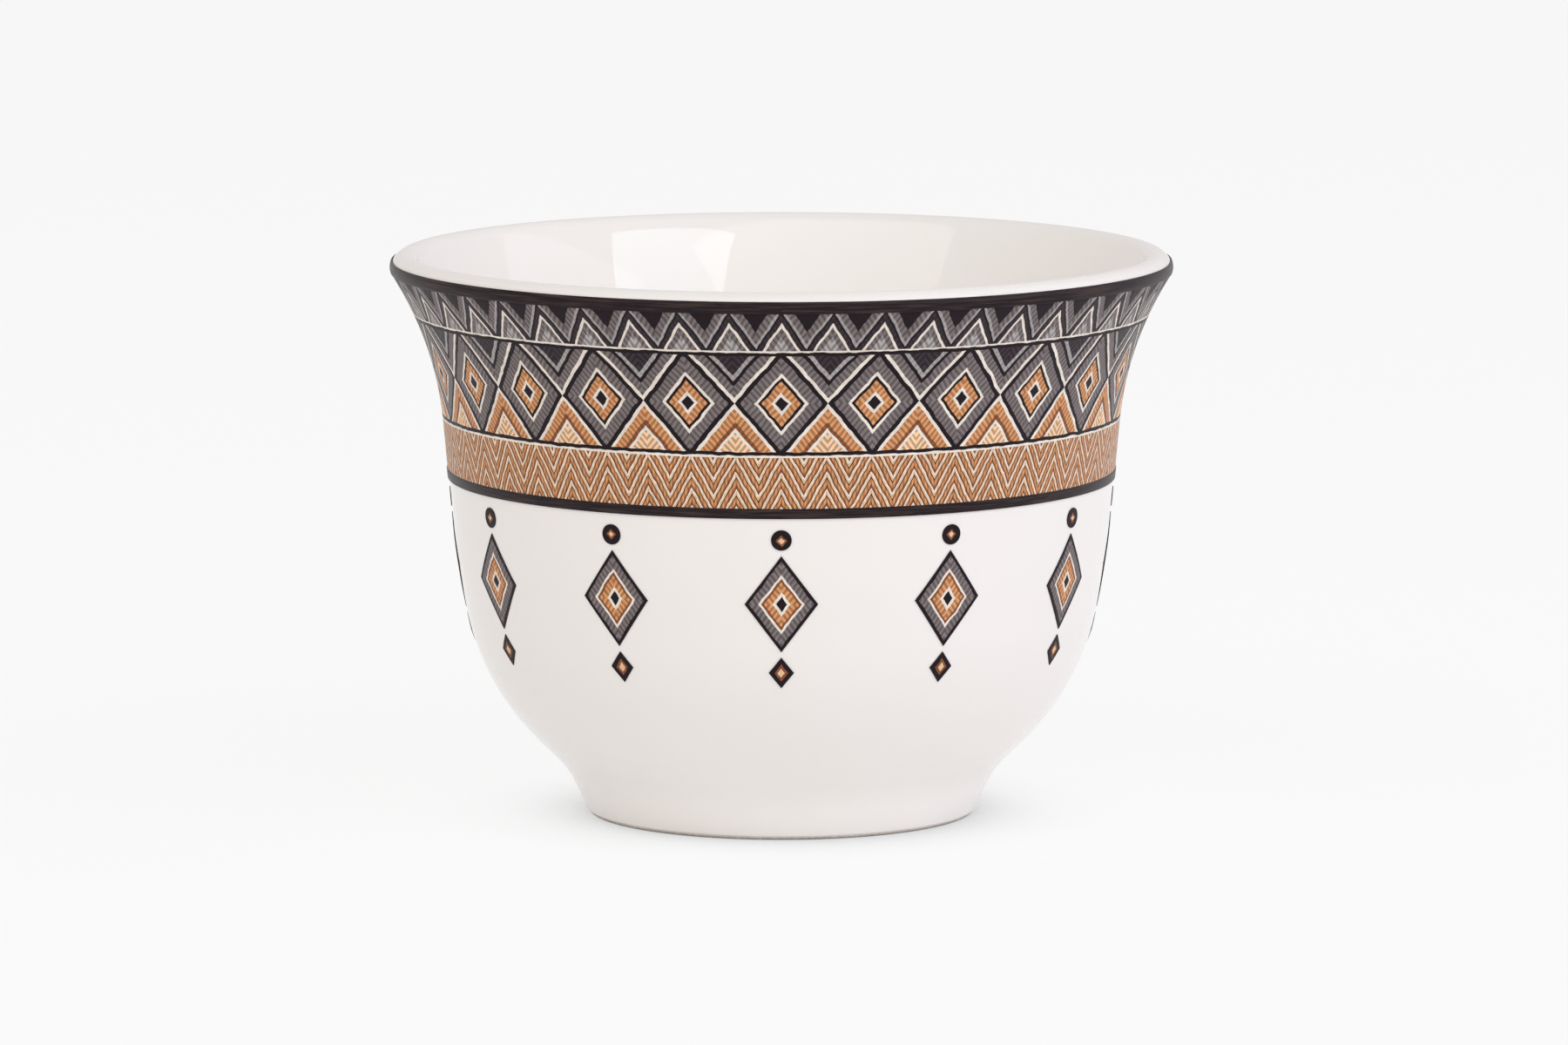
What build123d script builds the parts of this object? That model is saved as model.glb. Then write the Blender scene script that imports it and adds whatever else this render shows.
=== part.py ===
"""A small porcelain coffee cup without a handle, as it is put together in the pottery.

The clay body is turned and fired, glazed all over but for the foot it stands on, and then
decorated: two painted lines, three rows of printed strips and a ring of printed medallions
are fired on to the glaze.

Millimetres and degrees. +Z is up, the origin is the middle of the foot on the standing
plane, and the front of the cup faces -Y.
"""

import os
from math import asin, atan2, copysign, cos, radians, sin, sqrt, tan

from build123d import *

# Glazed cup, outside. A corner is where two straight runs of the outline would meet, and
# its radius is the arc that rounds it. A reach is how far the outline comes out above it.
rim_diameter = 69.7
cup_height = 50.5
wall_thickness = 2.6
flare_reach = 4.05
flare_drop = 8.5
flare_radius = 30.0
waist_reach = 1.65
waist_height = 23.6
waist_radius = 55.0
belly_reach = 2.1
belly_height = 11.75
belly_radius = 22.3
knee_height = 4.0
knee_radius = 8.8
foot_reach = 1.85
foot_diameter = 34.7

# Most of a straight run that the arcs at its two ends may take up
arc_share = 0.95

# Glazed cup, inside and underneath
floor_height = 5.2
bowl_corner_radius = 8.0
foot_ring_width = 2.6
foot_well_depth = 2.6
foot_well_radius = 1.2

# Bare foot
foot_edge_radius = 0.3
bare_foot_height = 0.35

# Layers on the clay
glaze_thickness = 0.15
line_thickness = 0.15
print_thickness = 0.08

# Rows of colour, from the lip downwards, measured along the axis
colour_drop = 0.75
rim_line_width = 1.0
upper_border_width = 3.4
main_band_width = 9.65
lower_border_width = 4.5
edge_line_width = 0.9
strips_per_row = 6

# Medallions below the rows
medallion_count = 12
medallion_drop = 1.0
medallion_gap = 0.5
bead_diameter = 1.8
lozenge_width = 6.4
lozenge_height = 8.6
drop_width = 2.2
drop_height = 2.8

front_angle = -90.0


def left_sides(corners):
    """Unit vectors to the left of each straight run between the corners."""
    runs = [(end - start).normalized() for start, end in zip(corners, corners[1:])]
    return [Vector(-run.Y, run.X) for run in runs]


def parallel_corners(corners, distance):
    """Corners of the line that runs this far to the left of the runs between the corners."""
    sides = left_sides(corners)
    moved = [corners[0] + sides[0] * distance]
    for corner, before, after in zip(corners[1:-1], sides, sides[1:]):
        moved.append(corner + (before + after) * (distance / (1 + before.dot(after))))
    moved.append(corners[-1] + sides[-1] * distance)
    return moved


def parallel_radii(corners, radii, distance):
    """Radii of the same arcs on that parallel line: a left turn gets tighter, a right turn wider."""
    sides = left_sides(corners)
    turns = [copysign(1, before.cross(after).Z) for before, after in zip(sides, sides[1:])]
    return [radius - turn * distance for radius, turn in zip(radii, turns)]


def fitting_radii(corners, radii):
    """The radii, made smaller where two arcs would take up more than their share of a run."""
    sides = left_sides(corners)
    lengths = [(end - start).length for start, end in zip(corners, corners[1:])]
    half_turns = [radians(before.get_angle(after)) / 2 for before, after in zip(sides, sides[1:])]
    taken = [0, *(radius * tan(turn) for radius, turn in zip(radii, half_turns)), 0]
    shares = [arc_share * length / (a + b) for length, a, b in zip(lengths, taken, taken[1:])]
    return [radius * min(1, a, b) for radius, a, b in zip(radii, shares, shares[1:])]


def level_point(start, end, height):
    """Point at this height on the straight line through two points."""
    return start + (end - start) * ((height - start.Y) / (end.Y - start.Y))


# Outline of the glazed outside, from the foot up to where the round lip begins
flare = Vector(rim_diameter / 2 - flare_reach, cup_height - flare_drop)
waist = Vector(flare.X - waist_reach, waist_height)
belly = Vector(waist.X - belly_reach, belly_height)
foot = Vector(foot_diameter / 2, 0)
knee = Vector(foot.X + foot_reach, knee_height)

# The last run leaves the flare so that it just touches the round lip.
lip_radius = wall_thickness / 2
lip_centre = Vector(rim_diameter / 2 - lip_radius, cup_height - lip_radius)
flare_to_lip = lip_centre - flare
lip_run_angle = atan2(flare_to_lip.Y, flare_to_lip.X) - asin(lip_radius / flare_to_lip.length)
lip_run_length = sqrt(flare_to_lip.length**2 - lip_radius**2)
lip_start = flare + Vector(cos(lip_run_angle), sin(lip_run_angle)) * lip_run_length

outside_corners = [foot, knee, belly, waist, flare, lip_start]
outside_radii = fitting_radii(
    outside_corners, [knee_radius, belly_radius, waist_radius, flare_radius]
)

# Outline of the glazed bowl, from the axis up to the lip: a flat floor, then the wall's
# inner side at an even thickness
knee_inside, *wall_inside = parallel_corners(outside_corners, wall_thickness)[1:]
floor_corner = level_point(knee_inside, wall_inside[0], floor_height)
wall_radii = parallel_radii(outside_corners, outside_radii, wall_thickness)[1:]

inside_corners = [Vector(0, floor_height), floor_corner, *wall_inside]
inside_radii = fitting_radii(inside_corners, [bowl_corner_radius, *wall_radii])


def outside_line(depth):
    """Outside of the cup, this far below its glazed surface, from the standing plane to the lip."""
    corners = parallel_corners(outside_corners, depth)
    corners[0] = level_point(corners[0], corners[1], 0)
    return FilletPolyline(*corners, radius=parallel_radii(outside_corners, outside_radii, depth))


def inside_line(depth):
    """Inside of the bowl, this far below its glazed surface, from the axis to the lip."""
    corners = parallel_corners(inside_corners, -depth)
    return FilletPolyline(*corners, radius=parallel_radii(inside_corners, inside_radii, -depth))


def well_line(depth):
    """Hollow under the cup, this far below its glazed surface, from the axis to the standing plane."""
    ring_inside = foot_diameter / 2 - foot_ring_width + depth
    ceiling = foot_well_depth + depth
    corners = [(0, ceiling), (ring_inside, ceiling), (ring_inside, 0)]
    return FilletPolyline(*corners, radius=[foot_well_radius + depth])


def cup_section(depth):
    """Half of the cup's cross-section, this far below its glazed surface all round."""
    with BuildSketch() as section:
        with BuildLine():
            outside = outside_line(depth)
            inside = inside_line(depth)
            TangentArc(outside @ 1, inside @ 1, tangent=outside % 1)
            well = well_line(depth)
            Line(inside @ 0, well @ 0)
            Line(well @ 1, outside @ 0)
        make_face()
    return section.sketch


def filled_section(depth):
    """Half of the cross-section as if the cup were solid up to the top of its lip."""
    with BuildSketch() as section:
        with BuildLine():
            outside = outside_line(depth)
            top = lip_centre + Vector(0, lip_radius - depth)
            TangentArc(outside @ 1, top, tangent=outside % 1)
            Polyline(top, (0, top.Y), (0, 0), outside @ 0)
        make_face()
    return section.sketch


def upright_plane(angle):
    """Plane through the axis. Its X runs outwards at this angle, and its Y runs up."""
    outwards = (cos(radians(angle)), sin(radians(angle)), 0)
    return Plane((0, 0, 0), x_dir=outwards, z_dir=(outwards[1], -outwards[0], 0))


def save(part, name):
    """Labels a finished piece and writes its file."""
    part.label = name
    export_step(part, f"parts/{name}.step")


os.makedirs("parts", exist_ok=True)
clay_section = cup_section(glaze_thickness)

# Porcelain body: wall, floor and foot ring in one turned piece, bare where it stands
with BuildPart() as porcelain_body:
    with BuildSketch(Plane.XZ) as body_section:
        add(clay_section)
        fillet(body_section.vertices().group_by(Axis.Y)[0], radius=foot_edge_radius)
    revolve(axis=Axis.Z)
save(porcelain_body.part, "porcelain_body")

# Glaze: one coat over the outside, the lip and the bowl, and another in the hollow under
# the cup. Both end above the standing plane, where the foot was wiped clean.
with BuildSketch(Plane.XZ) as glaze_section:
    add(cup_section(0))
    add(clay_section, mode=Mode.SUBTRACT)
    Rectangle(rim_diameter, 2 * bare_foot_height, mode=Mode.SUBTRACT)
well_face, coat_face = glaze_section.sketch.faces().sort_by(SortBy.AREA)

with BuildPart() as glaze_coat:
    revolve(coat_face, axis=Axis.Z)
save(glaze_coat.part, "glaze_coat")

with BuildPart() as well_glaze:
    revolve(well_face, axis=Axis.Z)
save(well_glaze.part, "well_glaze")


def colour_section(thickness):
    """Cross-section of a layer of fired colour on the outside of the glaze, from foot to lip."""
    with BuildSketch() as layer:
        add(filled_section(-thickness))
        add(filled_section(0), mode=Mode.SUBTRACT)
    return layer.sketch


def colour_ring(layer, top, width, start_angle=front_angle, sweep=360):
    """Piece of a colour layer from this height down, over this sweep round the cup."""
    with BuildPart() as ring:
        with BuildSketch(upright_plane(start_angle)):
            add(layer)
            with Locations((0, top)):
                Rectangle(rim_diameter, width, align=(Align.MIN, Align.MAX), mode=Mode.INTERSECT)
        revolve(axis=Axis.Z, revolution_arc=sweep)
    return ring.part


line_section = colour_section(line_thickness)
print_section = colour_section(print_thickness)

# Heights of the rows, each one below the last
rim_line_top = cup_height - colour_drop
upper_border_top = rim_line_top - rim_line_width
main_band_top = upper_border_top - upper_border_width
lower_border_top = main_band_top - main_band_width
edge_line_top = lower_border_top - lower_border_width
medallion_top = edge_line_top - edge_line_width - medallion_drop

# Painted lines: whole rings of thick enamel, drawn with a brush on a turning wheel
save(colour_ring(line_section, rim_line_top, rim_line_width), "rim_line")
save(colour_ring(line_section, edge_line_top, edge_line_width), "edge_line")

# Printed strips: each row goes round in equal strips, laid edge to edge. Strip 1 faces the front.
strip_rows = {
    "upper_border": (upper_border_top, upper_border_width),
    "main_band": (main_band_top, main_band_width),
    "lower_border": (lower_border_top, lower_border_width),
}
strip_sweep = 360 / strips_per_row
for row, (row_top, row_width) in strip_rows.items():
    for strip in range(strips_per_row):
        strip_start = front_angle + (strip - 0.5) * strip_sweep
        strip_part = colour_ring(print_section, row_top, row_width, strip_start, strip_sweep)
        save(strip_part, f"{row}_{strip + 1}")

# Medallions: a bead, a lozenge and a drop below each other, cut from the colour layer
lozenge_top = medallion_top - bead_diameter - medallion_gap
drop_top = lozenge_top - lozenge_height - medallion_gap
medallion_height = medallion_top - drop_top + drop_height
medallion_layer = colour_ring(print_section, medallion_top, medallion_height)

for medallion in range(medallion_count):
    outwards = upright_plane(front_angle + medallion * 360 / medallion_count).x_dir
    with BuildPart() as medallion_part:
        with BuildSketch(Plane((0, 0, 0), x_dir=outwards.rotate(Axis.Z, 90), z_dir=outwards)):
            with Locations((0, medallion_top - bead_diameter / 2)):
                Circle(bead_diameter / 2)
            for top, width, height in (
                (lozenge_top, lozenge_width, lozenge_height),
                (drop_top, drop_width, drop_height),
            ):
                middle = top - height / 2
                lozenge = [(0, top), (-width / 2, middle), (0, top - height), (width / 2, middle)]
                with BuildLine():
                    Polyline(*lozenge, close=True)
                make_face()
        extrude(amount=rim_diameter)
        add(medallion_layer, mode=Mode.INTERSECT)
    save(medallion_part.part, f"medallion_{medallion + 1}")
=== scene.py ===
from math import acos, asin, atan2, ceil, copysign, cos, pi, radians, sin, tan

import bmesh
import bpy
from mathutils import Matrix, Vector


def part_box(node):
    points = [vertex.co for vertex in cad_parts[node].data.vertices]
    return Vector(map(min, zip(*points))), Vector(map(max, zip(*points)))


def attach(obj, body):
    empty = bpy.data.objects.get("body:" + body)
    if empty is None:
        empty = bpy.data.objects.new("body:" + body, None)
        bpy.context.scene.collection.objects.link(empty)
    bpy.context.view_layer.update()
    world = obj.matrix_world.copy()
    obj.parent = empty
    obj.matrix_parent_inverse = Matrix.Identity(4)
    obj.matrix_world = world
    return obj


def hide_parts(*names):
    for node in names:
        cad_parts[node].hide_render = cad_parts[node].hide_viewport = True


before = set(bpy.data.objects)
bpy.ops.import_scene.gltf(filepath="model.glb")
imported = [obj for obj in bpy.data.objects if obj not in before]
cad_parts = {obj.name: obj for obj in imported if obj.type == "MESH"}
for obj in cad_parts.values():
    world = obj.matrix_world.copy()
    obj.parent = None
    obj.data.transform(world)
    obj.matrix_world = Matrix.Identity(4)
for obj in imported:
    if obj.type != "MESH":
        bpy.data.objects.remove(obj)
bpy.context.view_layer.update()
scene = bpy.context.scene
scene.view_settings.view_transform = "Standard"
mm = 0.001
print("frame loaded,", len(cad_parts), "nodes")


# the colours of the decoration, as fired
palette = {
    "black": "1f161c",
    "charcoal": "372f34",
    "grey": "766d6d",
    "ash": "a9a5a3",
    "cream": "efe6da",
    "sand": "e8c19a",
    "tan": "cd9162",
    "brown": "885437",
}


def linear(hexColour):
    channels = [int(hexColour[i:i + 2], 16) / 255 for i in (0, 2, 4)]
    return [c / 12.92 if c <= 0.04045 else ((c + 0.055) / 1.055) ** 2.4 for c in channels] + [1]


# adds a node, gives its open inputs their values or links in order, and returns its first open output
def addNode(tree, kind, inputs=(), stops=(), **settings):
    node = tree.nodes.new(kind)
    for name, value in settings.items():
        setattr(node, name, value)
    sockets = [socket for socket in node.inputs if socket.enabled]
    for socket, value in zip(sockets, inputs):
        if isinstance(value, bpy.types.NodeSocket):
            tree.links.new(value, socket)
        elif value is not None:
            socket.default_value = value
    if stops:
        ramp = node.color_ramp
        ramp.interpolation = "CONSTANT"
        ramp.elements.remove(ramp.elements[1])
        for place, colour, strength in stops:
            stop = ramp.elements.new(place) if place else ramp.elements[0]
            stop.color = linear(palette[colour])[:3] + [strength]
    return next(socket for socket in node.outputs if socket.enabled)


def newMaterial(name, ior):
    material = bpy.data.materials.new(name)
    material.use_nodes = True
    shader = material.node_tree.nodes["Principled BSDF"].inputs
    shader["IOR"].default_value = ior
    return material, material.node_tree, shader


noiseSpan = (0.3, 0.7)  # where nearly all values of a noise lie
smoothNoise = (1, 0.4)  # a noise's detail and roughness
grittyNoise = (3, 0.6)


# White porcelain glaze, poured over and fired: glassy and almost mirror smooth, a warm white that is
# a little uneven where it ran thicker, over ripples too low to see except in reflections
glazeFinish = {
    "ior": 1.52,
    "thin": "fbf8f5",
    "thick": "f7f4ef",
    "pool": 14 * mm,  # from one thick place to the next
    "ripple": 6 * mm,
    "roughness": (0.02, 0.045),
    "relief": (0.25, 0.03 * mm),  # strength and height
}


def whiteGlaze():
    material, tree, shader = newMaterial("white_porcelain_glaze", glazeFinish["ior"])
    place = addNode(tree, "ShaderNodeTexCoord").node.outputs["Object"]
    pooling = addNode(tree, "ShaderNodeTexNoise", [place, 1 / glazeFinish["pool"]])
    tint = addNode(tree, "ShaderNodeMix",
                   [pooling, linear(glazeFinish["thin"]), linear(glazeFinish["thick"])], data_type="RGBA")
    tree.links.new(tint, shader["Base Color"])
    gloss = addNode(tree, "ShaderNodeMapRange", [pooling, *noiseSpan, *glazeFinish["roughness"]])
    tree.links.new(gloss, shader["Roughness"])
    ripple = addNode(tree, "ShaderNodeTexNoise", [place, 1 / glazeFinish["ripple"], *smoothNoise])
    relief = addNode(tree, "ShaderNodeBump", [*glazeFinish["relief"], None, ripple])
    tree.links.new(relief, shader["Normal"])
    return material


# Unglazed porcelain, wiped and fired bare: matt, chalky off-white with a fine sandy grain, drawn as coarse
# as it needs to show, and grey along the outer bottom edge: partly rubbed wear, partly painted shade of the
# gap under the foot
clayFinish = {
    "ior": 1.5,
    "light": "f5f0e9",
    "dark": "e9e2d8",
    "grain": 0.25 * mm,
    "roughness": (0.68, 0.82),
    "relief": (0.5, 0.03 * mm),  # strength and height
    # painted shade with some wear: grey low on the foot's outer edge, where the gap under it lies in shadow
    "wearAndShade": "aca5a0",
    "wearAndShadeStrength": 1.9,
    "wearAndShadeHeights": (0.08 * mm, 0.33 * mm),  # full below the first, none above the second
    "wearAndShadeRadii": (16.6 * mm, 17 * mm),  # none within the first, full beyond the second
}


def barePorcelain():
    material, tree, shader = newMaterial("bare_fired_porcelain", clayFinish["ior"])
    place = addNode(tree, "ShaderNodeTexCoord").node.outputs["Object"]
    grain = addNode(tree, "ShaderNodeTexNoise", [place, 1 / clayFinish["grain"], *grittyNoise])
    clay = addNode(tree, "ShaderNodeMix", [grain, linear(clayFinish["light"]), linear(clayFinish["dark"])],
                   data_type="RGBA")
    height = addNode(tree, "ShaderNodeSeparateXYZ", [place]).node.outputs["Z"]
    # painted shade, mottled by the grain like wear: grey on the lowest part of the foot's outer edge
    low = addNode(tree, "ShaderNodeMapRange",
                  [height, *clayFinish["wearAndShadeHeights"], clayFinish["wearAndShadeStrength"], 0])
    level = addNode(tree, "ShaderNodeVectorMath", [place, (1, 1, 0)], operation="MULTIPLY")
    radius = addNode(tree, "ShaderNodeVectorMath", [level], operation="LENGTH")
    outer = addNode(tree, "ShaderNodeMapRange", [radius, *clayFinish["wearAndShadeRadii"], 0, 1])
    wearAndShadeMask = addNode(tree, "ShaderNodeMath", [low, outer], operation="MULTIPLY")
    wearAndShadeAmount = addNode(tree, "ShaderNodeMath", [wearAndShadeMask, grain], operation="MULTIPLY", use_clamp=True)
    colour = addNode(tree, "ShaderNodeMix", [wearAndShadeAmount, clay, linear(clayFinish["wearAndShade"])], data_type="RGBA")
    tree.links.new(colour, shader["Base Color"])
    matt = addNode(tree, "ShaderNodeMapRange", [grain, *noiseSpan, *clayFinish["roughness"]])
    tree.links.new(matt, shader["Roughness"])
    relief = addNode(tree, "ShaderNodeBump", [*clayFinish["relief"], None, grain])
    tree.links.new(relief, shader["Normal"])
    return material


# Black overglaze enamel, brushed on while the cup turns: thick, and satin rather than glossy, so that it
# stays black, with streaks that run round the cup and let a little brown through
enamelFinish = {
    "ior": 1.25,
    "thick": palette["black"],
    "thin": "5a4a42",
    "thinSpan": (0.45, 0.75),  # the streaks' values from none to most of the thin colour
    "thinMost": 0.6,
    "streakLength": 5 * mm,
    "streakWidth": 0.2 * mm,
    "radius": 30 * mm,  # of the cup where its streaks have that length
    "roughness": (0.32, 0.44),
    "relief": (0.3, 0.02 * mm),  # strength and height
}


def blackEnamel():
    material, tree, shader = newMaterial("black_overglaze_enamel", enamelFinish["ior"])
    place = addNode(tree, "ShaderNodeTexCoord").node.outputs["Object"]
    x, y, z = addNode(tree, "ShaderNodeSeparateXYZ", [place]).node.outputs
    angle = addNode(tree, "ShaderNodeMath", [x, y], operation="ARCTAN2")
    perRadian = enamelFinish["radius"] / enamelFinish["streakLength"]
    around = addNode(tree, "ShaderNodeMath", [angle, perRadian], operation="MULTIPLY")
    upright = addNode(tree, "ShaderNodeMath", [z, 1 / enamelFinish["streakWidth"]], operation="MULTIPLY")
    brushed = addNode(tree, "ShaderNodeCombineXYZ", [around, upright, 0])
    streaks = addNode(tree, "ShaderNodeTexNoise", [brushed, 1, *grittyNoise])
    thin = addNode(tree, "ShaderNodeMapRange",
                   [streaks, *enamelFinish["thinSpan"], 0, enamelFinish["thinMost"]])
    colour = addNode(tree, "ShaderNodeMix",
                     [thin, linear(enamelFinish["thick"]), linear(enamelFinish["thin"])], data_type="RGBA")
    tree.links.new(colour, shader["Base Color"])
    gloss = addNode(tree, "ShaderNodeMapRange", [streaks, *noiseSpan, *enamelFinish["roughness"]])
    tree.links.new(gloss, shader["Roughness"])
    relief = addNode(tree, "ShaderNodeBump", [*enamelFinish["relief"], None, streaks])
    tree.links.new(relief, shader["Normal"])
    return material


# Ceramic transfer print: flat colours laid side by side with stitch-like strokes in them, edges that
# wander by a tenth of a millimetre, and a dull satin face, duller than the glaze, that keeps the darks dark
printFinish = {
    "ior": 1.22,
    "wander": 1.2 * mm,  # from one bend of an edge to the next
    "wanderReach": 0.3 * mm,
    "strokeSpan": (0.08, 0.42),  # where a stroke gets lighter, from its edge (0) to its middle (0.5)
    "strokeTones": (0.62, 1.28),
    "mottle": 0.7 * mm,
    "mottleTones": (0.86, 1.14),
    "roughness": (0.36, 0.5),
    "relief": (0.2, 0.02 * mm),  # strength and height
}
colourSpan = 4  # a motif's colours start at distances from 0 to under this


def transferPrint(name, drawMotif, stops):
    material, tree, shader = newMaterial(name, printFinish["ior"])
    place = addNode(tree, "ShaderNodeTexCoord").node.outputs["Object"]
    wander = addNode(tree, "ShaderNodeTexNoise", [place, 1 / printFinish["wander"]]).node.outputs["Color"]
    shake = addNode(tree, "ShaderNodeVectorMath", [wander, (0.5, 0.5, 0.5)], operation="SUBTRACT")
    drawn = addNode(tree, "ShaderNodeVectorMath", [shake, [printFinish["wanderReach"]] * 3, place],
                    operation="MULTIPLY_ADD")
    x, y, z = addNode(tree, "ShaderNodeSeparateXYZ", [drawn]).node.outputs
    front = addNode(tree, "ShaderNodeMath", [y, -1], operation="MULTIPLY")
    angle = addNode(tree, "ShaderNodeMath", [x, front], operation="ARCTAN2")
    turns = addNode(tree, "ShaderNodeMath", [angle, 2 * pi], operation="DIVIDE")

    # a stop's alpha says how strong the strokes in its colour are
    distance, strokes = drawMotif(tree, turns, z)
    scaled = addNode(tree, "ShaderNodeMath", [distance, 1 / colourSpan], operation="MULTIPLY")
    scaledStops = [(start / colourSpan, colour, strength) for start, colour, strength in stops]
    ramp = addNode(tree, "ShaderNodeValToRGB", [scaled], stops=scaledStops)
    stitched = ramp.node.outputs["Alpha"]

    # each stroke is lighter along its middle
    thread = addNode(tree, "ShaderNodeMath", [strokes, 0.5], operation="PINGPONG")
    lighter = addNode(tree, "ShaderNodeMapRange",
                      [thread, *printFinish["strokeSpan"], *printFinish["strokeTones"]],
                      interpolation_type="SMOOTHSTEP")
    mottle = addNode(tree, "ShaderNodeTexNoise", [place, 1 / printFinish["mottle"], *grittyNoise])
    patchy = addNode(tree, "ShaderNodeMapRange", [mottle, *noiseSpan, *printFinish["mottleTones"]])
    shaded = addNode(tree, "ShaderNodeMath", [lighter, patchy], operation="MULTIPLY")
    tone = addNode(tree, "ShaderNodeMix", [stitched, patchy, shaded], data_type="FLOAT")
    inked = addNode(tree, "ShaderNodeVectorMath", [ramp, tone], operation="SCALE")
    tree.links.new(inked, shader["Base Color"])
    gloss = addNode(tree, "ShaderNodeMapRange", [mottle, *noiseSpan, *printFinish["roughness"]])
    tree.links.new(gloss, shader["Roughness"])
    relief = addNode(tree, "ShaderNodeBump", [*printFinish["relief"], None, tone])
    tree.links.new(relief, shader["Normal"])
    return material


def rowLimits(node):
    low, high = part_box(node)
    return low.z, high.z


# a point's place in a motif that repeats round the cup: how far it is from the middle line (0) to
# the edge of its repeat (1), and how far from the bottom (-1) to the top (1)
def placeInRepeat(tree, turns, z, repeats, low, high):
    counted = addNode(tree, "ShaderNodeMath", [turns, repeats], operation="MULTIPLY")
    folded = addNode(tree, "ShaderNodeMath", [counted, 0.5], operation="PINGPONG")
    across = addNode(tree, "ShaderNodeMath", [folded, 2], operation="MULTIPLY")
    up = addNode(tree, "ShaderNodeMapRange", [z, low, high, -1, 1], clamp=False)
    return across, up


# Main band: lozenges within lozenges, half ones between them in other colours above than below, and a
# narrow line along the two edges, which takes the last of the colours
mainBand = {"repeats": 24, "strokes": 7, "edge": 0.5 * mm, "edgeColours": (3, 3.99)}


def nestedLozenges(tree, turns, z):
    low, high = rowLimits("main_band_1")
    across, up = placeInRepeat(tree, turns, z, mainBand["repeats"], low, high)
    height = addNode(tree, "ShaderNodeMath", [up], operation="ABSOLUTE")
    reach = addNode(tree, "ShaderNodeMath", [across, height], operation="ADD")
    between = addNode(tree, "ShaderNodeMath", [reach, 1], operation="GREATER_THAN")
    lower = addNode(tree, "ShaderNodeMath", [up, 0], operation="LESS_THAN")
    lozenges = addNode(tree, "ShaderNodeMath", [between, lower, reach], operation="MULTIPLY_ADD")
    slant = addNode(tree, "ShaderNodeMath", [across, height], operation="SUBTRACT")
    strokes = addNode(tree, "ShaderNodeMath", [slant, mainBand["strokes"]], operation="MULTIPLY")
    edgeStart = 1 - 2 * mainBand["edge"] / (high - low)
    edge = addNode(tree, "ShaderNodeMapRange", [height, edgeStart, 1, *mainBand["edgeColours"]])
    inside = addNode(tree, "ShaderNodeMath", [height, edgeStart], operation="LESS_THAN")
    return addNode(tree, "ShaderNodeMix", [inside, edge, lozenges], data_type="FLOAT"), strokes


# Upper border: teeth that point up, and dark ones that point down between them
upperBorder = {"repeats": 48, "strokes": 4}


def toothRow(tree, turns, z):
    across, up = placeInRepeat(tree, turns, z, upperBorder["repeats"], *rowLimits("upper_border_1"))
    rise = addNode(tree, "ShaderNodeMath", [up, 0.5, 0.5], operation="MULTIPLY_ADD")
    distance = addNode(tree, "ShaderNodeMath", [across, rise], operation="ADD")
    slant = addNode(tree, "ShaderNodeMath", [across, rise], operation="SUBTRACT")
    strokes = addNode(tree, "ShaderNodeMath", [slant, upperBorder["strokes"]], operation="MULTIPLY")
    return distance, strokes


# Lower border: zigzags above each other
lowerBorder = {"repeats": 48, "zigzags": 1.5, "swing": 0.8, "strokes": 6}


def zigzagRow(tree, turns, z):
    across, up = placeInRepeat(tree, turns, z, lowerBorder["repeats"], *rowLimits("lower_border_1"))
    rise = addNode(tree, "ShaderNodeMath", [up, 0.5, 0.5], operation="MULTIPLY_ADD")
    swung = addNode(tree, "ShaderNodeMath", [across, lowerBorder["swing"], rise], operation="MULTIPLY_ADD")
    counted = addNode(tree, "ShaderNodeMath", [swung, lowerBorder["zigzags"]], operation="MULTIPLY")
    wrapped = addNode(tree, "ShaderNodeMath", [counted, 1], operation="WRAP")
    distance = addNode(tree, "ShaderNodeMath", [wrapped, 2], operation="MULTIPLY")
    strokes = addNode(tree, "ShaderNodeMath", [across, lowerBorder["strokes"]], operation="MULTIPLY")
    return distance, strokes


# Medallion: a bead, a lozenge and a drop below each other, each with the height of its middle, its
# width and its own height in mm. The bead and the drop take the last of the colours.
medallion = {
    "count": 12,
    "radius": 29,  # of the cup where the medallions are
    "bead": (28.4, 1.8, 1.8),
    "lozenge": (22.7, 6.4, 8.6),
    "drop": (16.5, 2.2, 2.8),
    "strokes": 6,
    "smallColours": 1.2,
}


def medallionMotif(tree, turns, z):
    halfRepeat = pi * medallion["radius"] / medallion["count"]
    reach = {}
    for shape in ("bead", "lozenge", "drop"):
        middle, width, tall = medallion[shape]
        bottom = (middle - tall / 2) * mm
        top = (middle + tall / 2) * mm
        aside, up = placeInRepeat(tree, turns, z, medallion["count"], bottom, top)
        across = addNode(tree, "ShaderNodeMath", [aside, 2 * halfRepeat / width], operation="MULTIPLY")
        height = addNode(tree, "ShaderNodeMath", [up], operation="ABSOLUTE")
        reach[shape] = addNode(tree, "ShaderNodeMath", [across, height], operation="ADD")
        if shape == "lozenge":
            slant = addNode(tree, "ShaderNodeMath", [across, height], operation="SUBTRACT")
            strokes = addNode(tree, "ShaderNodeMath", [slant, medallion["strokes"]], operation="MULTIPLY")
            beyond = addNode(tree, "ShaderNodeMath", [height, 1], operation="GREATER_THAN")
    nearer = addNode(tree, "ShaderNodeMath", [reach["bead"], reach["drop"]], operation="MINIMUM")
    small = addNode(tree, "ShaderNodeMath", [nearer, medallion["smallColours"]], operation="ADD")
    return addNode(tree, "ShaderNodeMix", [beyond, reach["lozenge"], small], data_type="FLOAT"), strokes


glazeMaterial = whiteGlaze()
bareMaterial = barePorcelain()
enamelMaterial = blackEnamel()
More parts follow.
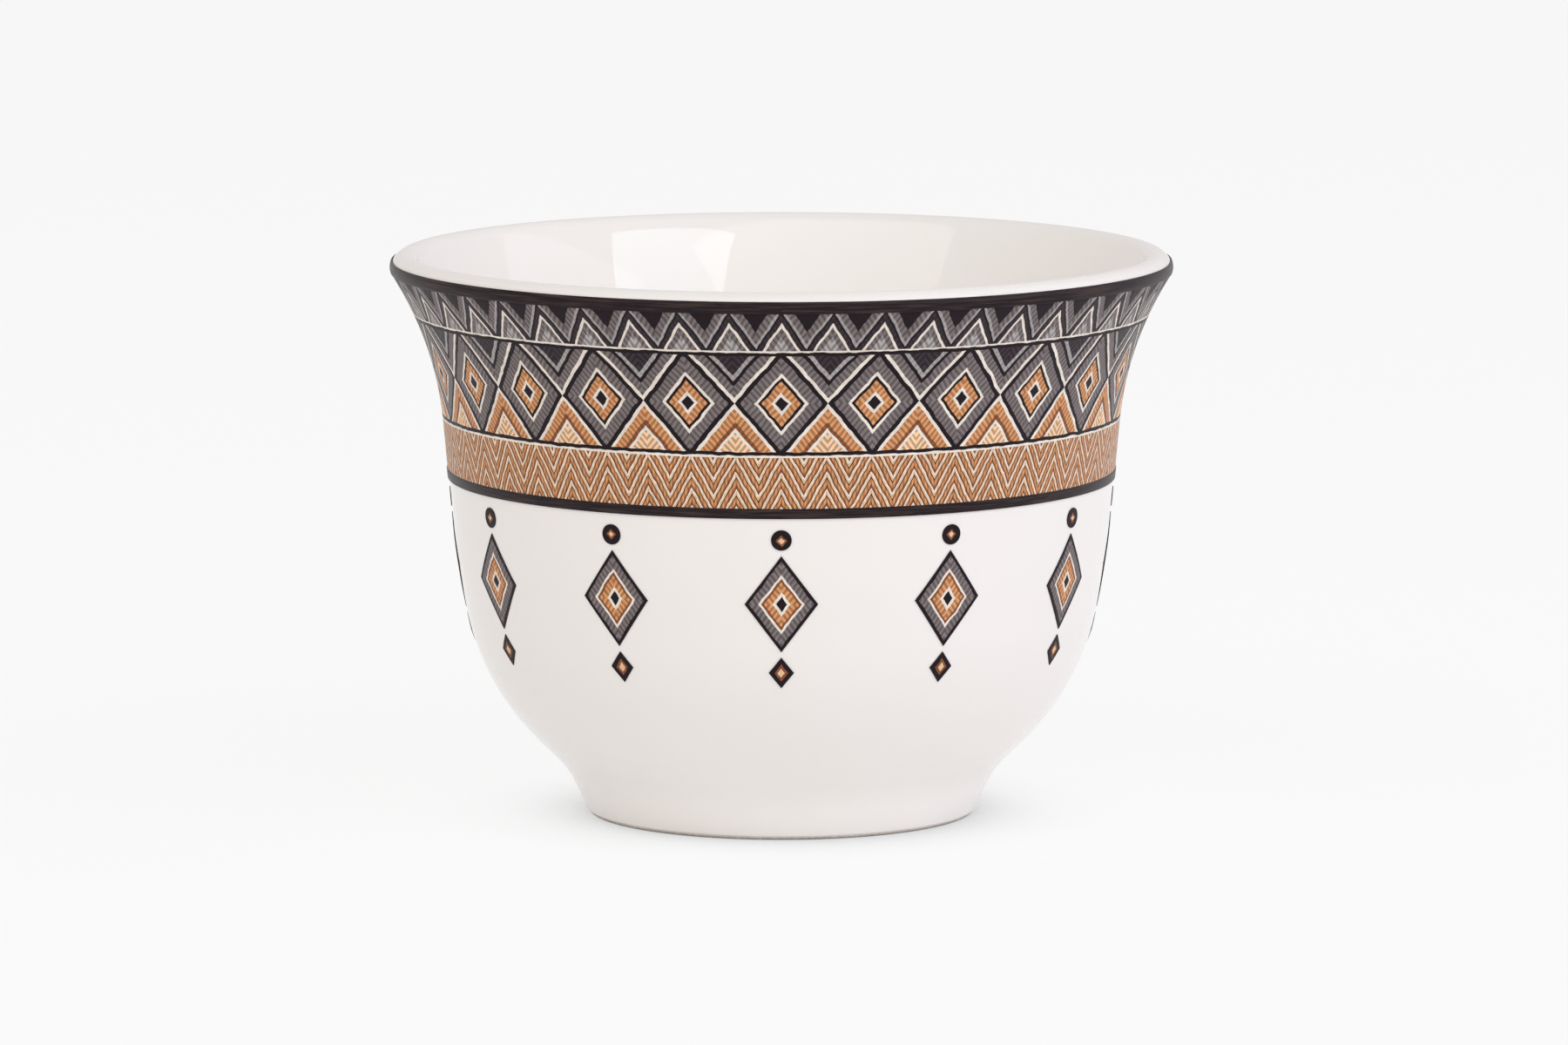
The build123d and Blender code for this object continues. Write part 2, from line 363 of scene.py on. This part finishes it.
# from the middle of a motif outwards: where a colour starts, the colour, and how strong its strokes are
bandMaterial = transferPrint("grey_transfer_print", nestedLozenges, [
    (0, "black", 0), (0.13, "cream", 0), (0.21, "tan", 1), (0.41, "black", 0.2), (0.49, "cream", 0),
    (0.57, "grey", 1), (0.86, "black", 0.3),
    (1.0, "cream", 0), (1.08, "grey", 1), (1.32, "black", 0.3), (1.42, "ash", 0.4), (1.52, "charcoal", 1),
    (2.0, "cream", 0), (2.08, "tan", 1), (2.34, "brown", 0.6), (2.44, "cream", 0), (2.52, "sand", 1),
    (3.0, "black", 0), (3.6, "cream", 0)])
upperMaterial = transferPrint("dark_transfer_print", toothRow, [
    (0, "ash", 1), (0.36, "grey", 1), (0.62, "cream", 0), (0.74, "charcoal", 0.6), (0.94, "black", 0),
    (1.04, "ash", 0.3), (1.16, "grey", 1), (1.5, "black", 0.2)])
lowerMaterial = transferPrint("tan_transfer_print", zigzagRow, [
    (0, "tan", 1), (0.62, "sand", 1), (1.02, "cream", 0), (1.16, "brown", 0.6), (1.4, "tan", 0.8),
    (1.72, "black", 0.2), (1.84, "sand", 0.3)])
medallionMaterial = transferPrint("medallion_transfer_print", medallionMotif, [
    (0, "black", 0), (0.15, "cream", 0), (0.25, "tan", 1), (0.46, "brown", 0.4), (0.54, "cream", 0),
    (0.62, "grey", 1), (0.88, "black", 0), (1.2, "sand", 0), (1.5, "brown", 0.4), (1.75, "black", 0)])
print("materials made")


# the cup's outline in mm, radius and height: corners where straight runs meet, and the arcs that round them
cup = {
    "rim": 34.85,
    "height": 50.5,
    "wall": 2.6,
    "corners": [(17.35, 0), (19.2, 4.0), (27.05, 11.75), (29.15, 23.6), (30.8, 42.0)],
    "arcs": [8.8, 22.3, 55, 30],
    "floor": 5.2,
    "floorArc": 8.0,
    "front": -90,  # degrees, the middle of the first strip
    "sag": 0.004,  # how far an arc's chords may fall inside it
    "turnStep": 2.5,  # degrees
    "cutReach": 0.0001,  # points this close to a cut lie on it
    "weldReach": 0.001,  # points this close to each other become one
}
lipRadius = cup["wall"] / 2
lipCentre = Vector((cup["rim"] - lipRadius, cup["height"] - lipRadius))
outsideCorners = [Vector(corner) for corner in cup["corners"]]
toLip = lipCentre - outsideCorners[-1]
# the last run just touches the round lip
lipSlope = atan2(toLip.y, toLip.x) - asin(lipRadius / toLip.length)
lipRun = (toLip.length_squared - lipRadius**2) ** 0.5
outsideCorners.append(outsideCorners[-1] + Vector((cos(lipSlope), sin(lipSlope))) * lipRun)


# the same corners on the line that runs this far to the left
def besideLine(corners, distance):
    runs = [(b - a).normalized() for a, b in zip(corners, corners[1:])]
    sides = [Vector((-run.y, run.x)) for run in runs]
    moved = [corners[0] + sides[0] * distance]
    for corner, before, after in zip(corners[1:-1], sides, sides[1:]):
        moved.append(corner + (before + after) * distance / (1 + before.dot(after)))
    return moved + [corners[-1] + sides[-1] * distance]


def heightOn(start, end, height):
    return start + (end - start) * (height - start.y) / (end.y - start.y)


insideWall = besideLine(outsideCorners, cup["wall"])[1:]
floorCorner = heightOn(*insideWall[:2], cup["floor"])
insideCorners = [Vector((0, cup["floor"])), floorCorner, *insideWall[1:]]
bellyArc, waistArc, flareArc = cup["arcs"][1:]
insideArcs = [cup["floorArc"], bellyArc - cup["wall"], waistArc - cup["wall"], flareArc + cup["wall"]]


def drawTo(bm, tip, place):
    tip = bmesh.ops.extrude_vert_indiv(bm, verts=[tip])["verts"][0]
    tip.co = (place.x * mm, 0, place.y * mm)
    return tip


def drawArc(bm, tip, centre, turn):
    middle = Vector((centre.x, 0, centre.y)) * mm
    step = 2 * acos(1 - cup["sag"] * mm / (tip.co - middle).length)
    spun = bmesh.ops.spin(bm, geom=[tip], cent=middle, axis=(0, -1, 0), angle=turn,
                          steps=max(2, ceil(abs(turn) / step)))
    return next(item for item in spun["geom_last"] if isinstance(item, bmesh.types.BMVert))


# draws straight runs from corner to corner, each corner rounded by its arc
def drawRuns(bm, tip, corners, arcs):
    for before, corner, after, radius in zip(corners, corners[1:], corners[2:], arcs):
        ahead = (corner - before).normalized()
        onward = (after - corner).normalized()
        turn = atan2(ahead.cross(onward), ahead.dot(onward))
        start = corner - ahead * radius * tan(abs(turn) / 2)
        tip = drawTo(bm, tip, start)
        tip = drawArc(bm, tip, start + Vector((-ahead.y, ahead.x)) * copysign(radius, turn), turn)
    return drawTo(bm, tip, corners[-1])


# draws the outside from this height up, and the lip by this turn
def drawOutside(bm, bottom, lipTurn):
    corners = [heightOn(*outsideCorners[:2], bottom), *outsideCorners[1:]]
    tip = bm.verts.new((corners[0].x * mm, 0, corners[0].y * mm))
    tip = drawRuns(bm, tip, corners, cup["arcs"])
    return drawArc(bm, tip, lipCentre, lipTurn)


def keepHeights(bm, low, high):
    for height, side in ((low, -1), (high, 1)):
        bmesh.ops.bisect_plane(bm, geom=bm.verts[:] + bm.edges[:] + bm.faces[:], dist=cup["cutReach"] * mm,
                               plane_co=(0, 0, height), plane_no=(0, 0, side), clear_outer=True)


# spins the drawn line round the axis, from one angle on in degrees
def turnLine(bm, start, sweep):
    bmesh.ops.rotate(bm, verts=bm.verts, matrix=Matrix.Rotation(radians(start), 3, "Z"))
    bmesh.ops.spin(bm, geom=bm.verts[:] + bm.edges[:], axis=(0, 0, 1), angle=radians(sweep),
                   steps=round(sweep / cup["turnStep"]), use_merge=sweep == 360)
    bmesh.ops.remove_doubles(bm, verts=bm.verts, dist=cup["weldReach"] * mm)


# gives the turned sheet its thickness in mm, inwards to the clay or outwards on the glaze
def thicken(bm, thickness, outwards):
    bmesh.ops.recalc_face_normals(bm, faces=bm.faces)
    lowest = min(bm.faces, key=lambda face: face.calc_center_median().z)
    looksOut = lowest.normal.dot(lowest.calc_center_median() * Vector((1, 1, 0))) > 0
    if looksOut == outwards:  # the new side grows behind the faces
        bmesh.ops.reverse_faces(bm, faces=bm.faces)
    bmesh.ops.solidify(bm, geom=bm.faces[:], thickness=thickness * mm)


# degrees that a face turns over an edge: above the first it can be rounded, below the second it is shaded
# smooth
edgeAngles = {"sharp": 60, "smooth": 35}


# rounds the edges that the thickness made, this wide in mm
def softenEdges(bm, width):
    sharp = [edge for edge in bm.edges if edge.calc_face_angle(0) > radians(edgeAngles["sharp"])]
    bmesh.ops.bevel(bm, geom=sharp, offset=width * mm, offset_type="OFFSET", affect="EDGES", segments=3,
                    profile=0.5, material=-1, clamp_overlap=True)


def finishPiece(bm, name, material, node):
    mesh = bpy.data.meshes.new(name)
    for face in bm.faces:
        face.smooth = True
    for edge in bm.edges:
        edge.smooth = edge.calc_face_angle(0) < radians(edgeAngles["smooth"])
    bm.to_mesh(mesh)
    bm.free()
    mesh.materials.append(material)
    piece = bpy.data.objects.new(name, mesh)
    scene.collection.objects.link(piece)
    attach(piece, "root")
    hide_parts(node)


# glaze over the outside, the lip and the bowl, down to a rounded edge above the bare foot
glazeCoat = {"thickness": 0.15, "edge": 0.06}
bm = bmesh.new()
tip = drawOutside(bm, rowLimits("glaze_coat")[0] / mm, pi)
drawRuns(bm, tip, insideCorners[::-1], insideArcs[::-1])
turnLine(bm, 0, 360)
thicken(bm, glazeCoat["thickness"], outwards=False)
softenEdges(bm, glazeCoat["edge"])
finishPiece(bm, "glaze_on_cup", glazeMaterial, "glaze_coat")
print("glaze made")


# two painted lines, thick enough to feel, with soft edges
paintedLine = {"thickness": 0.15, "edge": 0.06}
for node in ("rim_line", "edge_line"):
    bm = bmesh.new()
    drawOutside(bm, 0, pi / 2)
    keepHeights(bm, *rowLimits(node))
    turnLine(bm, 0, 360)
    thicken(bm, paintedLine["thickness"], outwards=True)
    softenEdges(bm, paintedLine["edge"])
    finishPiece(bm, node.replace("line", "enamel"), enamelMaterial, node)
print("lines made")


# printed strips, six to a row, laid edge to edge
strip = {"count": 6, "thickness": 0.08}
rows = {"upper_border": (upperMaterial, "grey_enamel"), "main_band": (bandMaterial, "grey_enamel"),
        "lower_border": (lowerMaterial, "tan_enamel")}
stripSweep = 360 / strip["count"]
for row, (material, slotName) in rows.items():
    for number in range(strip["count"]):
        node = f"{row}_{number + 1}"
        bm = bmesh.new()
        drawOutside(bm, 0, pi / 2)
        keepHeights(bm, *rowLimits(node))
        turnLine(bm, cup["front"] + (number - 0.5) * stripSweep, stripSweep)
        thicken(bm, strip["thickness"], outwards=True)
        finishPiece(bm, f"{row}_print_{number + 1}", material, node)
print("strips made")


# the clay, the glaze under the foot and the medallions keep their solids
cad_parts["porcelain_body"].data.materials[0] = bareMaterial
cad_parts["well_glaze"].data.materials[0] = glazeMaterial
for number in range(medallion["count"]):
    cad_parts[f"medallion_{number + 1}"].data.materials[0] = medallionMaterial
print("clay, foot and medallions finished")


# pale floor: lit plainly, and seen as an even studio white that keeps a share of the cup's shadow and
# darkens close to the foot
studio = {
    "floor": "f9f9f9",
    "floorReach": 4,  # metres to each side
    "seenWhite": 0.872,
    "seenShadow": 0.1,
    "contactReach": 20 * mm,
    "contactFall": 5.5,
    "contactDepth": 1.2,
    "walls": 0.75,
    "wallTint": (1.05, 1.0, 1.0, 1),
}
bm = bmesh.new()
bmesh.ops.create_grid(bm, x_segments=1, y_segments=1, size=studio["floorReach"])
mesh = bpy.data.meshes.new("floor")
bm.to_mesh(mesh)
bm.free()
floor = bpy.data.objects.new("floor", mesh)
scene.collection.objects.link(floor)

floorMaterial = bpy.data.materials.new("white_studio_floor")
floorMaterial.use_nodes = True
tree = floorMaterial.node_tree
tree.nodes.remove(tree.nodes["Principled BSDF"])
rays = addNode(tree, "ShaderNodeLightPath").node.outputs
mirrored = addNode(tree, "ShaderNodeMath", [rays["Is Glossy Ray"], rays["Is Transmission Ray"]],
                   operation="MAXIMUM")
seen = addNode(tree, "ShaderNodeMath", [rays["Is Camera Ray"], mirrored], operation="MAXIMUM")
paper = addNode(tree, "ShaderNodeBsdfDiffuse", [linear(studio["floor"])])
faint = addNode(tree, "ShaderNodeBsdfDiffuse", [[studio["seenShadow"]] * 3 + [1]])
nearby = addNode(tree, "ShaderNodeAmbientOcclusion", [None, studio["contactReach"]], samples=8)
covered = addNode(tree, "ShaderNodeMath", [1, nearby.node.outputs["AO"]], operation="SUBTRACT")
contact = addNode(tree, "ShaderNodeMath", [covered, studio["contactFall"]], operation="POWER")
lost = addNode(tree, "ShaderNodeMath", [contact, studio["contactDepth"]], operation="MULTIPLY")
left = addNode(tree, "ShaderNodeMath", [1, lost], operation="SUBTRACT", use_clamp=True)
level = addNode(tree, "ShaderNodeMath", [left, studio["seenWhite"]], operation="MULTIPLY")
glow = addNode(tree, "ShaderNodeEmission", [(1, 1, 1, 1), level])
white = addNode(tree, "ShaderNodeAddShader", [faint, glow])
shown = addNode(tree, "ShaderNodeMixShader", [seen, paper, white])
tree.links.new(shown, tree.nodes["Material Output"].inputs["Surface"])
mesh.materials.append(floorMaterial)

# pale walls all round, and dark overhead
world = bpy.data.worlds.new("studio")
scene.world = world
world.use_nodes = True
tree = world.node_tree
sky = tree.nodes["Background"].inputs
sky["Color"].default_value = studio["wallTint"]
direction = addNode(tree, "ShaderNodeTexCoord").node.outputs["Generated"]
flat = addNode(tree, "ShaderNodeVectorMath", [direction, (1, 1, 0)], operation="MULTIPLY")
aside = addNode(tree, "ShaderNodeVectorMath", [flat], operation="LENGTH")
bright = addNode(tree, "ShaderNodeMath", [aside, studio["walls"]], operation="MULTIPLY")
tree.links.new(bright, sky["Strength"])


# a softbox at the front right that leans over the cup, a wide dim panel high in front of it and a
# white card at the right
lamps = {
    "softbox": {"place": (0.46, -0.406, 0.615), "size": (0.553, 0.328), "power": 1.3,
                "azimuth": 31.1, "elevation": 26.8, "colour": (0.85, 1.0, 1.16)},
    "front_panel": {"place": (-0.2, -0.582, 0.707), "size": (1.31, 0.56), "power": 2.4,
                    "azimuth": -19, "elevation": 42.5, "colour": (1.04, 1.0, 0.9)},
    "right_card": {"place": (0.85, -0.05, 0.36), "size": (0.9, 0.6), "power": 1.05,
                   "azimuth": 87, "elevation": 20, "colour": (1.1, 1.0, 1.2)},
}
for name, lamp in lamps.items():
    light = bpy.data.lights.new(name, "AREA")
    light.shape = "RECTANGLE"
    light.size, light.size_y = lamp["size"]
    light.energy = lamp["power"]
    light.color = lamp["colour"]
    holder = bpy.data.objects.new(name, light)
    holder.location = lamp["place"]
    holder.rotation_euler = (pi / 2 - radians(lamp["elevation"]), 0, radians(lamp["azimuth"]))
    scene.collection.objects.link(holder)

# camera as in the photograph
camera = {"lens": 229.0, "sensor": 36, "nearest": 0.01, "distance": 0.8945, "pitch": 7.686,
          "aim": (0.00023, 0, 0.02598)}
lens = bpy.data.cameras.new("camera")
lens.lens = camera["lens"]
lens.sensor_width = camera["sensor"]
lens.clip_start = camera["nearest"]
eye = bpy.data.objects.new("camera", lens)
tilt = radians(camera["pitch"])
eye.location = Vector(camera["aim"]) + Vector((0, -cos(tilt), sin(tilt))) * camera["distance"]
eye.rotation_euler = (pi / 2 - tilt, 0, 0)
scene.collection.objects.link(eye)
scene.camera = eye
print("stage set")
